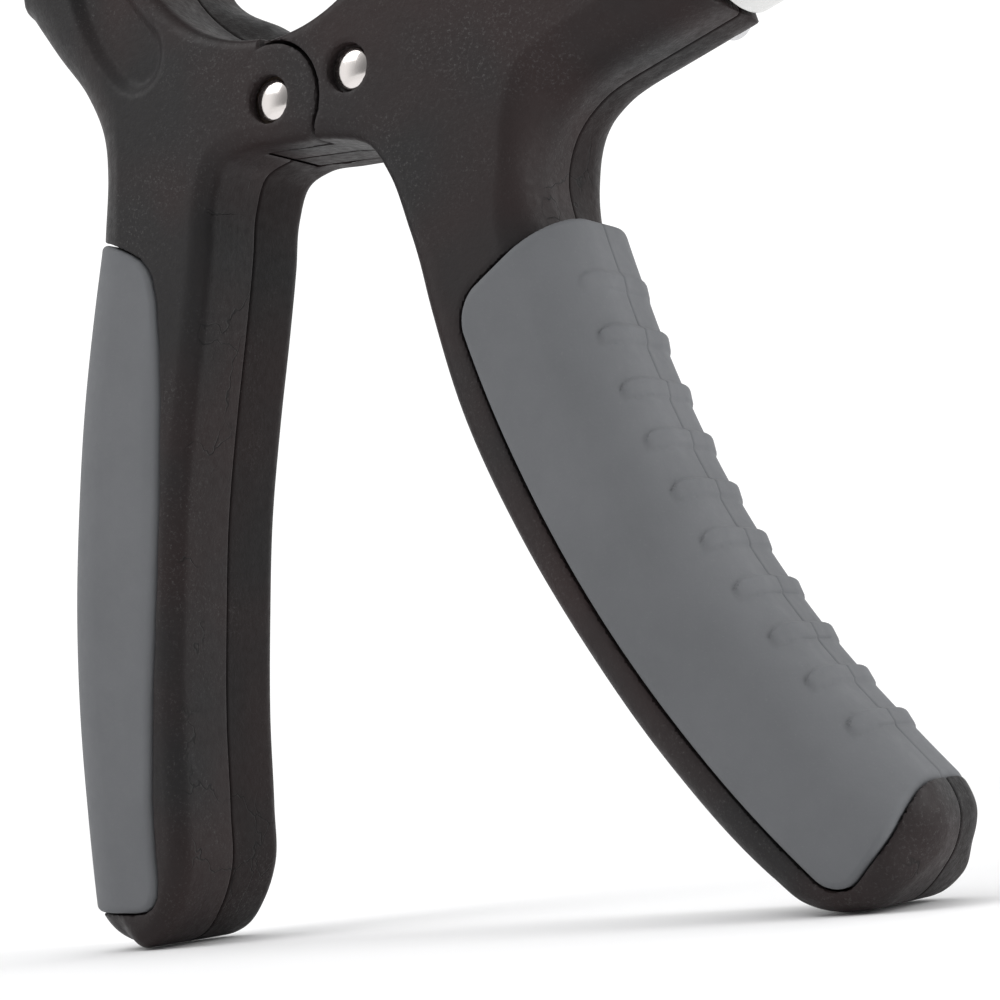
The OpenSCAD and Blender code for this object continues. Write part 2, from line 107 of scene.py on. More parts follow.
def material(name, color, rough=0.5, metal=0.0, spec=0.5):
    m = bpy.data.materials.new(name)
    m.use_nodes = True
    b = m.node_tree.nodes["Principled BSDF"]
    b.inputs["Base Color"].default_value = (*color, 1)
    b.inputs["Roughness"].default_value = rough
    b.inputs["Metallic"].default_value = metal
    b.inputs["Specular IOR Level"].default_value = spec
    return m, m.node_tree, b


floor_mat, floor_nt, floor_bsdf = material("floor_white", (0.885, 0.885, 0.89), 0.8, 0, 0.2)
floor.data.materials.append(floor_mat)


def far_floor(nt, b):
    """Far from the object the floor turns into the white of the room, so that no horizon shows."""
    fade_from, fade_to, white = 0.25, 1.1, 1.06
    n = nt.nodes
    coord, length = n.new("ShaderNodeTexCoord"), n.new("ShaderNodeVectorMath")
    fade = n.new("ShaderNodeMapRange")
    glow, mix = n.new("ShaderNodeEmission"), n.new("ShaderNodeMixShader")
    length.operation = "LENGTH"
    fade.interpolation_type = "SMOOTHSTEP"
    fade.inputs["From Min"].default_value, fade.inputs["From Max"].default_value = fade_from, fade_to
    glow.inputs["Strength"].default_value = white
    nt.links.new(coord.outputs["Object"], length.inputs[0])
    nt.links.new(length.outputs["Value"], fade.inputs["Value"])
    nt.links.new(fade.outputs["Result"], mix.inputs[0])
    nt.links.new(b.outputs["BSDF"], mix.inputs[1])
    nt.links.new(glow.outputs["Emission"], mix.inputs[2])
    nt.links.new(mix.outputs[0], n["Material Output"].inputs["Surface"])


far_floor(floor_nt, floor_bsdf)

# A white room that is darker on the side that the camera stands on
ROOM_BRIGHT, ROOM_DARK = 1.12, 0.25
world = bpy.data.worlds.new("studio")
bpy.context.scene.world = world
world.use_nodes = True
wt = world.node_tree
wn = wt.nodes
wc = wn.new("ShaderNodeTexCoord")
wd = wn.new("ShaderNodeVectorMath")
wd.operation = "DOT_PRODUCT"
wd.inputs[1].default_value = (math.sin(AZ), -math.cos(AZ), -0.1)
wt.links.new(wc.outputs["Generated"], wd.inputs[0])
wr = wn.new("ShaderNodeMapRange")
wr.interpolation_type = "SMOOTHSTEP"
for k, val in (("From Min", 0.1), ("From Max", 0.9), ("To Min", ROOM_BRIGHT), ("To Max", ROOM_DARK)):
    wr.inputs[k].default_value = val
wt.links.new(wd.outputs["Value"], wr.inputs["Value"])
wt.links.new(wr.outputs["Result"], wn["Background"].inputs["Strength"])
wn["Background"].inputs["Color"].default_value = (1, 1, 1, 1)
bpy.context.scene.view_settings.view_transform = "Standard"


def area_light(name, at, target, size, power):
    d = bpy.data.lights.new(name, "AREA")
    d.shape = "RECTANGLE"
    d.size, d.size_y = size
    d.energy = power
    o = bpy.data.objects.new(name, d)
    bpy.context.scene.collection.objects.link(o)
    at, target = np.array(at, float), np.array(target, float)
    z = at - target
    z /= np.linalg.norm(z)
    x = np.cross((0, 0, 1), z)
    x /= np.linalg.norm(x)
    y = np.cross(z, x)
    o.matrix_world = Matrix([[x[i], y[i], z[i], at[i]] for i in range(3)] + [[0, 0, 0, 1]])


MIDDLE = (0, 0, 0.08)
area_light("key", at=(-0.35, -0.45, 0.7), target=MIDDLE, size=(0.5, 0.5), power=2.2)
area_light("side", at=(0.7, 0.1, 0.35), target=MIDDLE, size=(0.3, 0.6), power=2.6)


# ---- solids from distance fields: outlines in the working frame, extruded with soft edges ----
def smooth(t):
    t = np.clip(t, 0, 1)
    return t * t * (3 - 2 * t)


def arc(c, r, a1, a2, n=24):
    a = np.radians(np.linspace(a1, a2, n))
    return np.stack([c[0] + r * np.cos(a), c[1] + r * np.sin(a)], 1)


def spline(points, closed=True, per=10):
    """Smooth curve through the points, its tangents weighted by the points' distances."""
    p = np.asarray(points, float)
    n = len(p)
    out = []
    for i in range(n if closed else n - 1):
        near = [i + k - 1 for k in range(4)]
        p0, p1, p2, p3 = (p[k % n if closed else min(max(k, 0), n - 1)] for k in near)
        t = np.linspace(0, 1, per, endpoint=False)[:, None]
        d1, d2 = np.linalg.norm(p1 - p0) + 1e-9, np.linalg.norm(p2 - p1) + 1e-9
        d3 = np.linalg.norm(p3 - p2) + 1e-9
        m1 = (p2 - p1) / d2
        t1 = ((p1 - p0) / d1 * d2 + m1 * d1) / (d1 + d2) * d2
        t2 = ((p2 - p1) / d2 * d3 + (p3 - p2) / d3 * d2) / (d2 + d3) * d2
        out.append((2 * t**3 - 3 * t**2 + 1) * p1 + (t**3 - 2 * t**2 + t) * t1
                   + (-2 * t**3 + 3 * t**2) * p2 + (t**3 - t**2) * t2)
    return np.concatenate(out)


class Outline:
    """Signed distance in mm to a closed outline, kept on a raster and looked up between its points."""

    def __init__(self, points, step=0.4, pad=9):
        p = np.asarray(points, float)
        self.lo = p.min(0) - pad
        n = np.ceil((p.max(0) + pad - self.lo) / step).astype(int) + 1
        self.step = step
        x = (self.lo[0] + step * np.arange(n[0]))[:, None]
        y = (self.lo[1] + step * np.arange(n[1]))[None, :]
        best = np.full(n, 1e9)
        inside = np.zeros(n, bool)
        for a, b in zip(p, np.roll(p, -1, 0)):
            e = b - a
            wx, wy = x - a[0], y - a[1]
            t = np.clip((wx * e[0] + wy * e[1]) / max(e @ e, 1e-12), 0, 1)
            best = np.minimum(best, (wx - t * e[0])**2 + (wy - t * e[1])**2)
            if a[1] != b[1]:
                crossing = (b[0] - a[0]) * (y - a[1]) / (b[1] - a[1]) + a[0]
                inside ^= ((a[1] > y) != (b[1] > y)) & (x < crossing)
        d = np.sqrt(best)
        self.g = np.where(inside, -d, d)

    def __call__(self, x, y):
        g = self.g
        u = np.clip((x - self.lo[0]) / self.step, 0, g.shape[0] - 1.001)
        v = np.clip((y - self.lo[1]) / self.step, 0, g.shape[1] - 1.001)
        i, j = u.astype(int), v.astype(int)
        u, v = u - i, v - j
        low = g[i, j] * (1 - u) + g[i + 1, j] * u
        high = g[i, j + 1] * (1 - u) + g[i + 1, j + 1] * u
        return low * (1 - v) + high * v


def extruded(d, z, half, r):
    """Distance to an outline (distance d) extruded to +-half, with edge radius r."""
    qx, qz = d + r, np.abs(z) - half + r
    return np.minimum(np.maximum(qx, qz), 0) + np.hypot(np.maximum(qx, 0), np.maximum(qz, 0)) - r


def both(a, b, r):
    """Intersection of two shapes with an edge of radius r."""
    return np.minimum(np.maximum(a, b) + r, 0) + np.hypot(np.maximum(a + r, 0), np.maximum(b + r, 0)) - r


def less(a, b, r):
    """Shape a without shape b, with an edge of radius r."""
    return both(a, -b, r)


PROBE, MAX_MOVE, MIN_SLOPE = 0.02, 0.2, 0.2


def onto_surface(f, v):
    """The points v moved along the slope of f to where f is 0."""
    for _ in range(3):
        p = [v[:, q] for q in range(3)]
        slope = []
        for q in range(3):
            ahead = f(*[p[k] + PROBE * (k == q) for k in range(3)])
            behind = f(*[p[k] - PROBE * (k == q) for k in range(3)])
            slope.append((ahead - behind) / (2 * PROBE))
        grad = np.stack(slope, 1)
        step = f(*p)[:, None] * grad / np.maximum((grad**2).sum(1), MIN_SLOPE)[:, None]
        v = v - np.clip(step, -MAX_MOVE, MAX_MOVE)
    return v


def surface(f, xs, ys, zs):
    """A closed quad mesh where f changes sign on the grid, its points moved onto the surface."""
    X, Y, Z = xs[:, None, None], ys[None, :, None], zs[None, None, :]
    shape = (len(xs), len(ys), len(zs))
    F = np.broadcast_to(f(X, Y, Z), shape).astype(np.float32)
    S = F < 0
    c = np.zeros([n - 1 for n in shape], np.int8)
    for i in (0, 1):
        for j in (0, 1):
            for k in (0, 1):
                c += S[i:shape[0] - 1 + i, j:shape[1] - 1 + j, k:shape[2] - 1 + k]
    active = (c > 0) & (c < 8)
    ids = np.full(c.shape, -1, np.int64)
    count = int(active.sum())
    ids[active] = np.arange(count)
    total, hits = np.zeros((count, 3)), np.zeros(count)
    quads = []
    axes = (xs, ys, zs)
    for ax in range(3):
        o1, o2 = (ax + 1) % 3, (ax + 2) % 3
        lo = [slice(None)] * 3
        hi = [slice(None)] * 3
        lo[ax], hi[ax] = slice(None, -1), slice(1, None)
        A, B = F[tuple(lo)], F[tuple(hi)]
        at = np.nonzero((A < 0) != (B < 0))
        a, b = A[at], B[at]
        t = a / (a - b)
        pos = np.empty((len(t), 3))
        g = axes[ax]
        pos[:, ax] = g[at[ax]] * (1 - t) + g[at[ax] + 1] * t
        pos[:, o1], pos[:, o2] = axes[o1][at[o1]], axes[o2][at[o2]]
        cell = []
        for d1, d2 in ((-1, -1), (0, -1), (0, 0), (-1, 0)):
            at2 = [q.copy() for q in at]
            at2[o1] += d1
            at2[o2] += d2
            ok = np.all([(at2[q] >= 0) & (at2[q] < c.shape[q]) for q in range(3)], 0)
            n = np.full(len(t), -1, np.int64)
            n[ok] = ids[at2[0][ok], at2[1][ok], at2[2][ok]]
            m = n >= 0
            for q in range(3):
                total[:, q] += np.bincount(n[m], pos[m, q], count)
            hits += np.bincount(n[m], minlength=count)
            cell.append(n)
        quad = np.stack(cell, 1)
        quad[a > 0] = quad[a > 0][:, ::-1]
        quads.append(quad[(quad >= 0).all(1)])
    return onto_surface(f, total / hits[:, None]), np.concatenate(quads)


def grid(lo, hi, step):
    n = max(int(math.ceil((hi - lo) / step)), 1)
    return lo + (hi - lo) * np.arange(n + 1) / n


def along_z(z0, z1, step):
    """Depths from z0 to z1, closer together near the parting plane."""
    return np.concatenate([[z0 + d for d in (0, 0.12, 0.25, 0.4, 0.6, 0.9)], grid(z0 + 1.3, z1, step)])


# ---- the two levers: places and sizes in mm, angles in degrees ----
OPEN_C, OPEN_R = (-2.0, 31.0), 23.0  # the round opening
HOOK_C, HOOK_R = (-6.5, 25.0), 40.0  # the back of the hook
HALF = 10.5  # half the depth of both levers
MAIN_C, PALM_C = (172.0, 27.0), (374.8, -66.0)  # the centres of the two handles' curves
RIVET = (12.3, 2.4)
BARREL_END, BARREL_R = (56.5, 15.8), 12.5
SLOPE = math.radians(21)
ALONG, ACROSS = (math.cos(SLOPE), math.sin(SLOPE)), (-math.sin(SLOPE), math.cos(SLOPE))


def on_barrel(u, v):
    """The place at u along the barrel from its end, inwards below 0, and v across it."""
    return (BARREL_END[0] + u * ALONG[0] + v * ACROSS[0], BARREL_END[1] + u * ALONG[1] + v * ACROSS[1])


def barrel_uv(x, y):
    dx, dy = x - BARREL_END[0], y - BARREL_END[1]
    return dx * ALONG[0] + dy * ALONG[1], dx * ACROSS[0] + dy * ACROSS[1]


def polar(c, x, y):
    return np.hypot(x - c[0], y - c[1]), np.degrees(np.arctan2(y - c[1], x - c[0])) % 360


def at(c, r, a):
    return (c[0] + r * math.cos(math.radians(a)), c[1] + r * math.sin(math.radians(a)))


# The palm lever's knuckle, and the hollow for it in the main lever. Right of NOTCH_X and below
# HOOK_Y the palm lever is only the knuckle, and WEDGE_X is the main lever's left end.
KNUCKLE_C, KNUCKLE_R, MAIN_CUT_R = (0.4, -0.4), 7.2, 7.7
NOTCH_X, HOOK_Y, WEDGE_X = -1.8, 25, -1.45

hook_tip = at(OPEN_C, OPEN_R + 5.2, 39)
upper_pin = (hook_tip[0] + 0.45, hook_tip[1] - 1)
lower_pin = on_barrel(-20.5, 8.9)

palm_inner = [(12, -5.4), (1, -5.5), (-5.2, -5.8), (-8.7, -7.4), (-10.3, -11.5), (-10.9, -18),
              (-12.0, -27), (-13.6, -38.5), (-15.0, -51.5), (-15.4, -64), (-15.4, -78), (-14.7, -90)]
palm_tip = [(-14.5, -97.5), (-16.2, -102.3), (-19.2, -106.3), (-24.4, -108.0), (-29.2, -107.0), (-32.4, -103.9)]
palm_outer = [(-33.7, -97), (-34.9, -84), (-35.8, -70), (-35.6, -54), (-34.6, -38), (-32.9, -24),
              (-31.3, -14), (-30.6, -7), (-31.2, -1.5), (-34.1, 4.2), (-39.8, 10.7), (-44.4, 16.3)]
hook_outer = arc(HOOK_C, HOOK_R, 191, 52, 40)
hook_tip_arc = arc(hook_tip, 5.0, 60, -85, 12)
opening_arc = arc(OPEN_C, OPEN_R, 44, 296, 66)
palm_lower = spline(palm_inner + palm_tip + palm_outer, closed=False)
palm_outline = Outline(np.concatenate([palm_lower, hook_outer, hook_tip_arc, opening_arc, [(12, 6)]]))

main_arch = [(3, -5.5), (9, -5.7), (14.5, -7.2), (17.6, -11.0), (20.4, -18.3), (23.4, -28.2)]
main_inner = [at(MAIN_C, r, a) for r, a in ((159.1, 205), (158.9, 211), (158.6, 217), (158.6, 223))]
main_tip = [at(MAIN_C, r, a) for r, a in (
    (158.2, 229.6), (157.8, 231.0), (156.5, 232.0), (154.6, 232.85), (151.5, 233.75),
    (147.0, 234.0), (143.0, 233.75), (140.4, 233.1), (139.0, 232.1), (138.6, 230.2))]
main_outer = [at(MAIN_C, r, a) for r, a in ((138.9, 227), (138.9, 221), (138.9, 215), (138.4, 208.5), (138.8, 203))]
main_neck = [(39.0, -17.6), (37.9, -12.5), (39.2, -7.4), (43.4, -3.0), on_barrel(-14, -BARREL_R)]
barrel_outline = [on_barrel(u, v) for u, v in (
    (-11, -BARREL_R), (-5, -BARREL_R), (-0.2, -BARREL_R), (0, 0.2 - BARREL_R),
    (0, BARREL_R - 0.2), (-0.2, BARREL_R), (-36, BARREL_R))]
main_lower = spline(main_arch + main_inner + main_tip + main_outer + main_neck, closed=False)
main_outline = Outline(np.concatenate([main_lower, barrel_outline, [(10, 14.5), (WEDGE_X, 10.5), (WEDGE_X, -5.4)]]))


def palm_side(x, y):
    """0 on the inner side of the palm lever, 1 on its outer side."""
    handle = smooth((-21.5 - x) / 5)
    ring = smooth((np.hypot(x - OPEN_C[0], y - OPEN_C[1]) - 29.5) / 5)
    up = smooth((y + 2) / 10)
    return handle * (1 - up) + ring * up


def palm_edge(x, y):
    """Radius of the palm lever's long edges: small inside, large outside and on the handle."""
    down = smooth((-8 - y) / 14)
    near = smooth((x + 16) / 8) * smooth((16 - y) / 8)
    inner = 2.0 + 0.6 * smooth((-1 - y) / 4) - 0.5 * near * smooth(y / 4)
    return inner + (6.6 + 1.2 * down - inner) * palm_side(x, y)


def main_edge(x, y):
    """Radius of the main lever's long edges: small inside, large outside and under the barrel."""
    r, _ = polar(MAIN_C, x, y)
    handle = smooth((148.5 - r) / 5)
    u, v = barrel_uv(x, y)
    barrel = smooth((-v - 3) / 6) * smooth((u + 34) / 12)
    low = smooth((-10 - y) / 14)
    outer = handle * low + barrel * (1 - low)
    inner = 1.5 + 1.0 * smooth((-1 - y) / 4) + 1.3 * low
    return inner + (7.6 - inner) * outer


def between(x, low, high):
    return np.maximum(low - x, x - high)


RECESS_R, RECESS_DEEP = 3.05, 1.6


def pin_recess(x, y, z, px, py):
    return both(np.hypot(x - px, y - py) - RECESS_R, HALF - RECESS_DEEP - np.abs(z), 0.0)


def dimple(x, y):
    """How deep the tapering recess in the hook's faces is."""
    r, a = polar(OPEN_C, x, y)
    widest, length, half_wide, mid_r, deep = 228, 50, 4.9, 30.5, 1.5
    mm_per_degree = 0.53
    t = np.clip((widest - a) / length, 0, 1)
    wide = half_wide * np.sqrt(np.clip(1 - t**1.6, 0, 1)) + 1e-3
    past_end = np.maximum(widest - length - a, 0)
    d = np.hypot(np.maximum(a - widest, 0) * mm_per_degree, past_end * mm_per_degree)
    s = np.hypot(np.abs(r - mid_r) / wide, d / half_wide)
    return deep * smooth((1.12 - s) / 0.5)


# Seen from the front, the edge of the palm grip on the lever's face
palm_grip_area = Outline([
    (-27.4, -15.8), (-26.2, -16.2), (-24.8, -16.7), (-23.0, -17.5), (-21.3, -18.5), (-20.2, -19.7),
    (-19.5, -21.0), (-18.8, -23.7), (-18.3, -30.1), (-18.1, -36.6), (-18.3, -49.4), (-18.8, -62.3),
    (-19.4, -75.2), (-19.5, -88.1), (-19.0, -94.5), (-18.5, -98.6), (-18.6, -100.6), (-19.3, -101.9),
    (-20.6, -102.7), (-22.4, -103.0), (-33.4, -103.7), (-46, -104.6), (-46, -12.2), (-36.9, -14.0),
    (-30.7, -15.06)], 0.3, 4)


def main_grip_area(x, y):
    """Seen from the front, the edge of the finger grip on the lever's face."""
    r, a = polar(MAIN_C, x, y)
    top = (198.95 + 0.115 * (r - 137) - a) * 2.5
    bottom = (a - 232.5 + 0.012 * np.maximum(147.8 - r, 0)**2) * 2.55
    return both(r - 153.9, both(bottom, top, 2.0), 3.6)


# Outlines of the grips' outer skins, which run on inside the levers
palm_grip_outline = Outline(spline([
    (-13, -10), (-13, -36), (-13, -64), (-13, -91), (-13, -112), (-31.5, -112), (-32.9, -104),
    (-34.65, -92), (-36.2, -78), (-36.8, -64), (-36.4, -50), (-35.3, -36), (-33.6, -24),
    (-32.3, -16.5), (-31.5, -12), (-22, -8)]))
main_grip_outline = Outline(spline([at(MAIN_C, r, a) for r, a in (
    (160, 198), (160, 210), (160, 222), (160, 234), (150, 238), (140.5, 237), (138.9, 232.5),
    (138.4, 229), (138.2, 222), (137.8, 214), (137.2, 206), (137.0, 201), (137.3, 197.5), (140, 192))]))
SEAM = 0.02  # half the gap between the two halves of a lever
GROOVE = 0.24  # the gap round a grip
SOFT = 0.25  # edge radius of most cuts
GRIP_HALF = HALF + 0.35


def grip_core(outline, z):
    """The part of a lever that its grip wraps."""
    return extruded(outline + 2.0, z, HALF - 2.0, 5.0)


def rear_swell(x, y, z):
    """How far the rear half of the opening's rim stands up beside the hinge."""
    r, a = polar(OPEN_C, x, y)
    along = smooth((a - 206) / 32) * smooth((262 - a) / 16)
    return 3.2 * along * smooth((2 - z) / 9) * smooth((27 - r) / 3)


# Room in the palm lever for the main lever's tongue, the bushes and the spring's upper eye
TONGUE_ROOM_R, TONGUE_ROOM_Z, WASHER_ROOM_R, WASHER_ROOM_Z = 7.1, 5.2, 5.5, 5.5
BUSH_HOLE_R, BUSH_HOLE_Z = 3.25, 8.8
EYE_ROOM_R, EYE_ROOM_Z = 8, 2.2


def palm_solid(x, y, z):
    pin = np.hypot(x, y)
    flat = palm_outline(x, y)
    body = extruded(flat - rear_swell(x, y, z), z, HALF - dimple(x, y), palm_edge(x, y))
    knuckle = KNUCKLE_R - np.hypot(x - KNUCKLE_C[0], y - KNUCKLE_C[1])
    body = less(body, np.maximum(knuckle, np.maximum(NOTCH_X - x, y - HOOK_Y)), SOFT)
    grip = both(palm_grip_area(x, y) - GROOVE, -grip_core(flat, z), 0.0)
    body = less(body, grip, SOFT)
    deep = np.where(pin < WASHER_ROOM_R, WASHER_ROOM_Z, TONGUE_ROOM_Z)
    cheeks = np.maximum(pin - TONGUE_ROOM_R, np.abs(z) - deep)
    room = np.maximum(np.maximum(-x, between(y, -20, 20)), np.abs(z) - TONGUE_ROOM_Z)
    body = less(body, np.minimum(cheeks, room), 0.2)
    body = less(body, pin_recess(x, y, z, 0, 0), SOFT)
    body = np.maximum(body, -np.maximum(pin - BUSH_HOLE_R, np.abs(z) - BUSH_HOLE_Z))
    eye = np.hypot(x - upper_pin[0], y - upper_pin[1]) - EYE_ROOM_R
    return less(body, np.maximum(eye, np.abs(z) - EYE_ROOM_Z), 0.3)


def main_opening(x, y):
    """The round opening, a little deeper in this lever and deepest at the notch."""
    deeper = 0.33 + 0.1 * smooth((3.0 - x) / 4)
    return OPEN_R + deeper - np.hypot(x - OPEN_C[0], y - OPEN_C[1])


TONGUE_R, TONGUE_Z, TONGUE_LOW = 6.95, 5.05, -5.45
PIN_HOLE_R = 2.35
CARRIAGE_U, CARRIAGE_V, CARRIAGE_Z = (-34, -6), (-7, 25), 7.3  # the carriage's room in the barrel
BORES = ((3, -41, 19), (5, -37, -31), (6, -6, 2))  # radius, from and to along the barrel


def main_solid(x, y, z):
    outline = main_outline(x, y)
    body = extruded(np.maximum(outline, main_opening(x, y)), z, HALF, main_edge(x, y))
    body = less(body, np.hypot(x - KNUCKLE_C[0], y - KNUCKLE_C[1]) - MAIN_CUT_R, SOFT)
    grip = both(main_grip_area(x, y) - GROOVE, -grip_core(outline, z), 0.0)
    body = less(body, grip, SOFT)
    neck = np.maximum(between(x, 0, 10), y - 7)
    tongue = both(np.minimum(np.hypot(x, y) - TONGUE_R, neck), TONGUE_LOW - y, 0.4)
    body = np.minimum(body, np.maximum(tongue, np.abs(z) - TONGUE_Z))
    u, v = barrel_uv(x, y)
    room = np.maximum(between(u, *CARRIAGE_U), between(v, *CARRIAGE_V))
    body = less(body, np.maximum(room, np.abs(z) - CARRIAGE_Z), 0.5)
    q = np.hypot(v, z)
    for radius, start, end in BORES:
        body = np.maximum(body, -np.maximum(q - radius, between(u, start, end)))
    body = less(body, pin_recess(x, y, z, *RIVET), SOFT)
    body = np.maximum(body, PIN_HOLE_R - np.hypot(x - RIVET[0], y - RIVET[1]))
    return np.maximum(body, PIN_HOLE_R - np.hypot(x, y))


HEAD_R, HEAD_Z, THREAD_R, THREAD_Z = 2.5, -5.5, 1.25, 5


def screw_hole(x, y, z, c):
    """A hole from the rear face: wide to HEAD_Z for the screw's head, then narrow to THREAD_Z."""
    q = np.hypot(x - c[0], y - c[1])
    return np.minimum(np.maximum(q - HEAD_R, z - HEAD_Z), np.maximum(q - THREAD_R, z - THREAD_Z))


main_screws = [at(MAIN_C, 147.2, a) for a in (195.5, 207, 217.5, 228)] + [on_barrel(-4, -9.4)]
palm_screws = [(-21, -4)] + [at(PALM_C, 400, a) for a in (177, 180.3, 183.7)] + [at(OPEN_C, 29.4, 115)]


def front_of(f):
    """The front half of a lever."""
    return lambda x, y, z: both(f(x, y, z), SEAM - z, 0.3)


def rear_of(f, screws):
    """The rear half of a lever, with its screw holes."""
    def g(x, y, z):
        body = f(x, y, z)
        for c in screws:
            body = less(body, screw_hole(x, y, z, c), 0.2)
        return both(body, z + SEAM, 0.3)
    return g


def palm_grip_solid(x, y, z):
    skin = extruded(palm_grip_outline(x, y), z, GRIP_HALF, 8.2)
    return both(less(skin, grip_core(palm_outline(x, y), z), 0.1), palm_grip_area(x, y), 0.9)


RIBS = (203.0, 205.93, 208.85, 211.63, 214.43, 217.25, 220.1, 222.9, 225.6, 228.4)
RIB_REACH, RIB_WIDE, RIB_END, MM_PER_DEGREE = 1.75, 2.8, -0.1, 2.4
FIRST_RIB_HIGH, RIB_HIGH = 0.45, 0.8


def ribs(x, y, inside):
    """How far the ribs stand out: each is a lens that is broad on the outer side, highest near its
    upper edge and gone at RIB_REACH inside the outline."""
    _, a = polar(MAIN_C, x, y)
    reach = np.clip(1 - (np.maximum(inside, 0) / RIB_REACH)**2, 0, 1)
    wide = RIB_WIDE * np.sqrt(reach) + 1e-3
    height = 0.0
    for i, ai in enumerate(RIBS):
        t = 1 - (RIB_END - (a - ai) * MM_PER_DEGREE) / wide
        ridge = smooth(t / 0.35) * (1 - 0.7 * t) * smooth((1.0 - t) / 0.12)
        height = np.maximum(height, (RIB_HIGH if i else FIRST_RIB_HIGH) * ridge)
    return height * smooth(reach)


def main_grip_solid(x, y, z):
    d = main_grip_outline(x, y)
    parting_line = 0.16 * np.exp(-(z / 0.16)**2)
    skin = extruded(d, z, GRIP_HALF, 7.8) - ribs(x, y, -d) + parting_line
    return both(less(skin, grip_core(main_outline(x, y), z), 0.1), main_grip_area(x, y), 0.9)


STEP = 0.36
FRONT_Z = along_z(-0.13, 11.6, STEP)
REAR_Z = -FRONT_Z[::-1]
SKIN_Z = np.concatenate([grid(-12.6, -0.55, STEP), [-0.35, -0.2, -0.1, 0, 0.1, 0.2, 0.35], grid(0.55, 12.6, STEP)])


def build(name, f, lo, hi, zs, body, slot, node):
    """The solid f between the corners lo and hi, as the piece that replaces the node."""
    v, q = surface(f, grid(lo[0], hi[0], STEP), grid(lo[1], hi[1], STEP), zs)
    o = mesh_object(name, to_row(v), q)
    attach(o, body)
    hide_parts(node)
    return o


PALM_BOX = (-48.2, -110.5), (25.5, 66.5)
MAIN_BOX = (-8.6, -100.5), (94, 30)
shells = [
    build("palm_front", front_of(palm_solid), *PALM_BOX, FRONT_Z, "palm_lever", "shell_black", "palm_front_shell"),
    build("palm_rear", rear_of(palm_solid, palm_screws), *PALM_BOX, REAR_Z,
          "palm_lever", "shell_black", "palm_rear_shell"),
    build("main_front", front_of(main_solid), *MAIN_BOX, FRONT_Z, "main_lever", "shell_black", "main_front_shell"),
    build("main_rear", rear_of(main_solid, main_screws), *MAIN_BOX, REAR_Z,
          "main_lever", "shell_black", "main_rear_shell"),
]
grips = [
    build("palm_grip_skin", palm_grip_solid, (-39.5, -108), (-15.5, -10), SKIN_Z,
          "palm_lever", "grip_grey", "palm_grip"),
    build("finger_grip_skin", main_grip_solid, (25, -98), (98, -15), SKIN_Z,
          "main_lever", "grip_grey", "finger_grip"),
]


# ---- turned pieces and the spring ----
def finished(name, rings, body, slot, node, closed=False, sharp=SHARP):
    """A skin over rings of points: closed into a loop, or ended by a cap at both ends. A piece without a body is
    not attached to one."""
    rings = np.asarray(rings, float)
    m, n = rings.shape[:2]
    faces = []
    for i in range(m if closed else m - 1):
        a, b = i * n, (i + 1) % m * n
        faces += [(a + k, a + (k + 1) % n, b + (k + 1) % n, b + k) for k in range(n)]
    if not closed:
        faces += [tuple(range(n))[::-1], tuple(range((m - 1) * n, m * n))]
    v = to_row(rings.reshape(-1, 3))
    volume = sum(np.dot(v[f[0]], np.cross(v[f[1]], v[f[2]])) + np.dot(v[f[0]], np.cross(v[f[2]], v[f[3]]))
                 for f in faces if len(f) == 4)
    o = mesh_object(name, v, faces if volume > 0 else [f[::-1] for f in faces])
    o.data.set_sharp_from_angle(angle=sharp)
    if body:
        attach(o, body)
    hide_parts(node)
    o.data.materials.append(mats[slot])
    return o


def turned(profile, place, n=120, shape=None):
    """Rings of a turned piece: the profile is (position along the axis, radius), and shape changes
    the radius with the angle."""
    phi = 2 * np.pi * np.arange(n) / n
    out = []
    for s, r in profile:
        radius = np.full(n, float(r)) if shape is None else shape(s, r, phi)
        out.append(place(s, radius * np.cos(phi), radius * np.sin(phi)))
    return out


def about_barrel(s, p, q):
    """Points at s along the barrel's axis, p across it and q to the front."""
    x, y = on_barrel(s, p)
    return np.stack([x, y, q + 0 * p], -1)


def about_pin(c):
    """Points at s to the front along a pin at c."""
    return lambda s, p, q: np.stack([c[0] + p, c[1] + q, s + 0 * p], -1)


def bevel(corners, r, n=5):
    """The corners of a profile, each rounded with its radius."""
    out = []
    for i, (p, radius) in enumerate(zip(corners, r)):
        p = np.array(p, float)
        a, b = np.array(corners[i - 1], float) - p, np.array(corners[(i + 1) % len(corners)], float) - p
        a, b = p + a / np.linalg.norm(a) * radius, p + b / np.linalg.norm(b) * radius
        for t in np.linspace(0, 1, n):
            out.append((1 - t)**2 * a + 2 * t * (1 - t) * p + t**2 * b)
    return out


def pin_profile():
    """Shaft and two domed heads with a small edge."""
    dome_from, dome_r = 3.6, 6.3
    dome = [(dome_from + math.sqrt(dome_r**2 - r * r), r) for r in np.linspace(0.02, 2.42, 14)]
    half_pin = dome + [(9.36, 2.54), (9.28, 2.61), (9.18, 2.63), (9.0, 2.63), (8.93, 2.6), (8.93, 2.3)]
    return half_pin + [(-z, r) for z, r in half_pin[::-1]]


def ring_profile():
    corners = [(0.5, 10.0), (0.5, 12.5), (6.0, 12.5), (6.0, 10.0)]
    return bevel(corners, (0.3, 0.55, 0.55, 0.3))


def cap_shape(s, r, phi):
    """Twelve flutes that run out towards the ring and round the far edge."""
    deep = 1.05 * float(smooth((s - 7.0) / 1.6)) * float(smooth((r - 7.5) / 2.5))
    wave = np.clip(np.cos(12 * phi) * 1.6 - 0.35, 0, 1)
    return r - deep * smooth(wave)


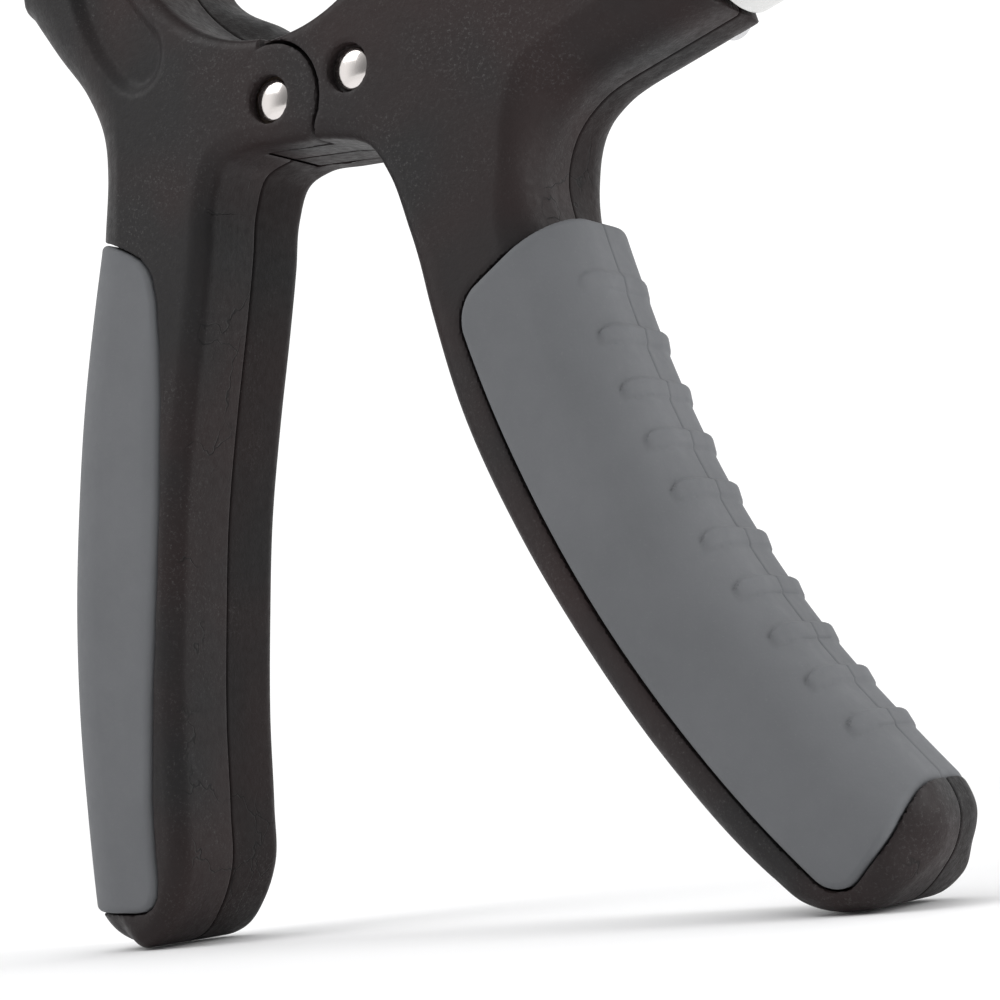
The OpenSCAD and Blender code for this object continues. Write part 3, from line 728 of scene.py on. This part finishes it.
def cap_profile():
    top, crown_r = 16.0, 22
    crown = [(top - crown_r + math.sqrt(crown_r**2 - r * r), r) for r in (3.75, 5.0, 6.5, 8.0, 9.0)]
    rim = [(13.75, 9.75), (13.3, 10.4), (12.6, 10.9), (11.6, 11.12), (10.4, 11.2), (9.2, 11.2),
           (8.4, 11.2), (7.6, 11.2), (7.0, 11.2), (6.5, 11.15), (6.15, 10.9), (6.05, 10.4)]
    inner = [(6.05, 9.95), (0.75, 9.95), (0.75, 1.75), (7.9, 1.75), (7.9, 3.65), (14.9, 3.65), (15.5, 3.66)]
    return crown + rim + inner


def plug_profile():
    return [(12.6, 0.03), (12.6, 3.5), (15.1, 3.5), (15.35, 3.42), (15.5, 3.2), (15.52, 2.2),
            (15.36, 1.9), (15.34, 0.03)]


LOW_TURNS = 2.5  # turns of the spring's lower piece, the rest are on its upper piece
TURN_POINTS = 44
BLEND_FROM = 50  # the point of a spring path, after its eye, whose place is worked out but not used


def spring_path():
    """Middle of the wire in two pieces, each from an eye round its pin to the turn where they meet."""
    lower, upper = np.array(lower_pin), np.array(upper_pin)
    long = float(np.linalg.norm(upper - lower))
    e1 = (upper - lower) / long
    e0 = np.array([e1[1], -e1[0]])
    coil_r, pitch, turns, eye_r = 5.2, 2.95, 8, 3.15
    coil_from = (long - pitch * turns) / 2

    def coil(t):
        phi = 2 * np.pi * t
        return np.stack([-coil_r * np.cos(phi), coil_from + pitch * t, coil_r * np.sin(phi)], -1)

    a = np.radians(np.linspace(50, -170, 45))
    eye = np.stack([eye_r * np.cos(a), eye_r * np.sin(a), 0 * a], -1)
    t = np.linspace(0, 1, 26)[:-1, None]
    ease = smooth(t)
    straight = np.concatenate([0 * t - eye_r, t * coil_from, 0 * t], 1)
    lead = (1 - ease) * straight + ease * coil((t[:, 0] - 1) * 0.3)

    def from_eye(n):
        return np.concatenate([eye, lead, coil(np.linspace(0, n, int(n * TURN_POINTS) + 1))])

    over = from_eye(turns - LOW_TURNS) * (1, -1, -1) + (0, long, 0)

    def place(p):
        return np.concatenate([lower + p[:, :1] * e0 + p[:, 1:2] * e1, p[:, 2:]], 1)

    return place(from_eye(LOW_TURNS)), place(over)


def wire(path, r=1.25, sides=18):
    """Rings round a path, carried along without twist, with a rounded first end."""
    t = np.gradient(path, axis=0)
    t /= np.linalg.norm(t, axis=1)[:, None]
    n = np.cross(t[0], (0, 0, 1.0))
    phi = 2 * np.pi * np.arange(sides)[:, None] / sides
    out = []
    for i, (c, d) in enumerate(zip(path, t)):
        n = n - (n @ d) * d
        n /= np.linalg.norm(n)
        around = np.cos(phi) * n + np.sin(phi) * np.cross(d, n)
        if i == 0:
            for k in range(6):
                g = math.radians(90 - 15 * k)
                out.append(c - d * r * 0.6 * math.sin(g) + max(r * math.cos(g), 0.02) * around)
        out.append(c + r * around)
    return out


def turned_pieces():
    finished("pivot_pin_turned", turned(pin_profile(), about_pin((0, 0))), "main_lever", "pin_steel", "pivot_pin")
    finished("body_rivet_turned", turned(pin_profile(), about_pin(RIVET)), "main_lever", "pin_steel", "body_rivet")
    finished("knob_ring_turned", turned(ring_profile(), about_barrel, 160),
             "knob", "ring_steel", "knob_ring", closed=True)
    finished("knob_cap_fluted", turned(cap_profile(), about_barrel, 240, cap_shape),
             "knob", "knob_black", "knob_cap", closed=True)
    finished("knob_plug_turned", turned(plug_profile(), about_barrel, 72), "knob", "knob_black", "knob_plug")
    lower, upper = spring_path()
    for name, path, pair in (("spring_lower", lower, ("carriage", "main_lever")),
                             ("spring_upper", upper, ("palm_lever", "main_lever"))):
        o = finished(name, wire(path), None, "spring_steel", "main_spring", sharp=math.radians(60))
        last_turn = np.mean(path[-TURN_POINTS - 1:-1], 0)
        start, end = to_row(path[BLEND_FROM] * (1, 1, 0)), to_row(last_turn * (1, 1, 0))
        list(pair)
        tuple(start)
        tuple(end)
        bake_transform(o)


# ---- materials ----
def put(nt, kind, inputs=None, **attrs):
    """A new node with its attributes, and its inputs linked or set."""
    n = nt.nodes.new(kind)
    for k, v in attrs.items():
        setattr(n, k, v)
    for k, v in (inputs or {}).items():
        if isinstance(v, bpy.types.NodeSocket):
            nt.links.new(v, n.inputs[k])
        else:
            n.inputs[k].default_value = v
    return n


def object_coords(nt):
    return put(nt, "ShaderNodeTexCoord").outputs["Object"]


def noise(nt, vec, scale, detail=3.0, rough=0.6):
    inputs = {"Vector": vec, "Scale": scale, "Detail": detail, "Roughness": rough}
    return put(nt, "ShaderNodeTexNoise", inputs).outputs["Fac"]


def remap(nt, value, a, b, c=0.0, d=1.0):
    """The range a to b mapped onto c to d."""
    inputs = {"Value": value, "From Min": a, "From Max": b, "To Min": c, "To Max": d}
    return put(nt, "ShaderNodeMapRange", inputs, clamp=True).outputs["Result"]


def math_node(nt, op, a, b):
    return put(nt, "ShaderNodeMath", {0: a, 1: b}, operation=op).outputs[0]


def mix_color(nt, fac, a, b):
    n = put(nt, "ShaderNodeMix", data_type="RGBA")
    for k, v in ((0, fac), (6, a), (7, b)):
        if isinstance(v, bpy.types.NodeSocket):
            nt.links.new(v, n.inputs[k])
        else:
            n.inputs[k].default_value = (*v, 1) if k else v
    return n.outputs[2]


def bump(nt, height, strength, distance, normal=None):
    inputs = {"Height": height, "Strength": strength, "Distance": distance}
    if normal is not None:
        inputs["Normal"] = normal
    return put(nt, "ShaderNodeBump", inputs).outputs["Normal"]


def shell_material(name, painted_shade_scale=1.0):
    """Moulded black plastic with dust and grain, and fine cracks on the sides that face right. A scale below 1
    darkens its colour and specular as painted shade.
    """
    m, nt, b = material(name, (0.02, 0.018, 0.018), 0.5, 0, 0.2 * painted_shade_scale)
    p = object_coords(nt)
    warm = tuple(painted_shade_scale * c for c in (0.0235, 0.0152, 0.0150))
    cool = tuple(painted_shade_scale * c for c in (0.0165, 0.0152, 0.0158))
    tint = mix_color(nt, remap(nt, noise(nt, p, 38, 2), 0.4, 0.62), warm, cool)
    specks = remap(nt, noise(nt, p, 2600, 3, 0.8), 0.55, 0.72)
    dust = math_node(nt, "MULTIPLY", specks, remap(nt, noise(nt, p, 55, 3), 0.46, 0.66))
    tint = mix_color(nt, math_node(nt, "MULTIPLY", dust, 0.5), tint, (0.11, 0.105, 0.105))
    wobble = put(nt, "ShaderNodeTexNoise", {"Vector": p, "Scale": 160.0, "Detail": 3.0}).outputs["Color"]
    shift = put(nt, "ShaderNodeVectorMath", {0: wobble, 1: (0.012, 0.012, 0.012)}, operation="MULTIPLY").outputs[0]
    moved = put(nt, "ShaderNodeVectorMath", {0: p, 1: shift}, operation="ADD").outputs[0]
    cells = put(nt, "ShaderNodeTexVoronoi", {"Vector": moved, "Scale": 75.0}, feature="DISTANCE_TO_EDGE")
    crack = remap(nt, cells.outputs["Distance"], 0.0, 0.016, 1.0, 0.0)
    normal = put(nt, "ShaderNodeNewGeometry").outputs["Normal"]
    facing_right = remap(nt, put(nt, "ShaderNodeSeparateXYZ", {0: normal}).outputs[0], 0.75, 0.92)
    patches = math_node(nt, "MULTIPLY", facing_right, remap(nt, noise(nt, p, 60, 2), 0.5, 0.56))
    crack = math_node(nt, "MULTIPLY", crack, patches)
    tint = mix_color(nt, math_node(nt, "MULTIPLY", crack, 0.85), tint, (0.004, 0.004, 0.004))
    nt.links.new(tint, b.inputs["Base Color"])
    nt.links.new(remap(nt, noise(nt, p, 900, 3), 0.3, 0.7, 0.42, 0.6), b.inputs["Roughness"])
    grain = bump(nt, noise(nt, p, 1700, 4, 0.65), 0.35, 0.00018)
    nt.links.new(bump(nt, crack, 0.4, -0.00015, grain), b.inputs["Normal"])
    return m


def grip_material():
    m, nt, b = material("soft_rubber", (0.125, 0.129, 0.137), 0.72, 0, 0.3)
    p = object_coords(nt)
    clouds = remap(nt, noise(nt, p, 45, 3), 0.35, 0.65)
    specks = remap(nt, noise(nt, p, 3800, 2), 0.62, 0.8, 0, 0.25)
    tint = mix_color(nt, clouds, (0.118, 0.122, 0.129), (0.134, 0.138, 0.146))
    tint = mix_color(nt, specks, tint, (0.2, 0.205, 0.215))
    nt.links.new(tint, b.inputs["Base Color"])
    nt.links.new(remap(nt, noise(nt, p, 700, 3), 0.3, 0.7, 0.66, 0.8), b.inputs["Roughness"])
    nt.links.new(bump(nt, noise(nt, p, 2600, 3, 0.6), 0.18, 0.0001), b.inputs["Normal"])
    return m


def steel_material(name, color, rough, scratch=0.08):
    m, nt, b = material(name, color, rough, 1.0)
    p = object_coords(nt)
    spread = remap(nt, noise(nt, p, 1500, 4, 0.7), 0.3, 0.7, rough * 0.8, rough * 1.35 + 0.02)
    nt.links.new(spread, b.inputs["Roughness"])
    nt.links.new(bump(nt, noise(nt, p, 900, 3), scratch, 0.00006), b.inputs["Normal"])
    return m


def bronze_painted_shade_material():
    """Sintered bronze of the bushes, painted nearly black as painted shade for the deep, narrow pin recesses they
    sit in.
    """
    m, nt, b = material("bronze_painted_shade", (0.035, 0.022, 0.014), 0.55, 0.6)
    p = object_coords(nt)
    grains = remap(nt, noise(nt, p, 1800, 3), 0.35, 0.65)
    nt.links.new(mix_color(nt, grains, (0.02, 0.014, 0.01), (0.05, 0.032, 0.02)), b.inputs["Base Color"])
    return m


def plastic_material(name, color, rough):
    m, nt, b = material(name, color, rough)
    p = object_coords(nt)
    light = tuple(min(1, c * 1.25 + 0.004) for c in color)
    clouds = remap(nt, noise(nt, p, 300, 3), 0.35, 0.65)
    nt.links.new(mix_color(nt, clouds, color, light), b.inputs["Base Color"])
    nt.links.new(bump(nt, noise(nt, p, 2200, 3), 0.12, 0.0001), b.inputs["Normal"])
    return m


mats = {
    "shell_black": shell_material("moulded_black"),
    "grip_grey": grip_material(),
    "pin_steel": steel_material("polished_steel", (0.72, 0.68, 0.66), 0.13, 0.15),
    "ring_steel": steel_material("satin_steel", (0.72, 0.72, 0.71), 0.3),
    "knob_black": plastic_material("knob_plastic", (0.035, 0.036, 0.042), 0.42),
    "screw_steel": steel_material("bright_zinc", (0.62, 0.62, 0.63), 0.28),
    "brass": steel_material("machined_brass", (0.75, 0.55, 0.25), 0.25),
    "nylon": plastic_material("nylon_white", (0.62, 0.6, 0.54), 0.5),
    "carriage_red": plastic_material("carriage_plastic", (0.42, 0.035, 0.02), 0.4),
    "pointer_white": plastic_material("pointer_plastic", (0.75, 0.75, 0.72), 0.45),
    "spring_steel": steel_material("spring_plating", (0.62, 0.62, 0.63), 0.22),
}
# Painted shade: the bushes' bronze is painted nearly black to stand for the shade in the pin recesses.
bushes = bronze_painted_shade_material()
slot_of = {s["node"]: s["material_slot"] for s in frame["record"]["subparts"]}
for n, o in frame["nodes"].items():
    o.data.materials.clear()
    o.data.materials.append(bushes if n == "pivot_bushes" else mats[slot_of[n]])
# Painted shade: the rear halves get the same black at 0.6 of its colour and specular.
rear_black_painted_shade = shell_material("moulded_black_rear_painted_shade", 0.6)
for o in shells:
    o.data.materials.append(rear_black_painted_shade if "rear" in o.name else mats["shell_black"])
for o in grips:
    o.data.materials.append(mats["grip_grey"])
turned_pieces()
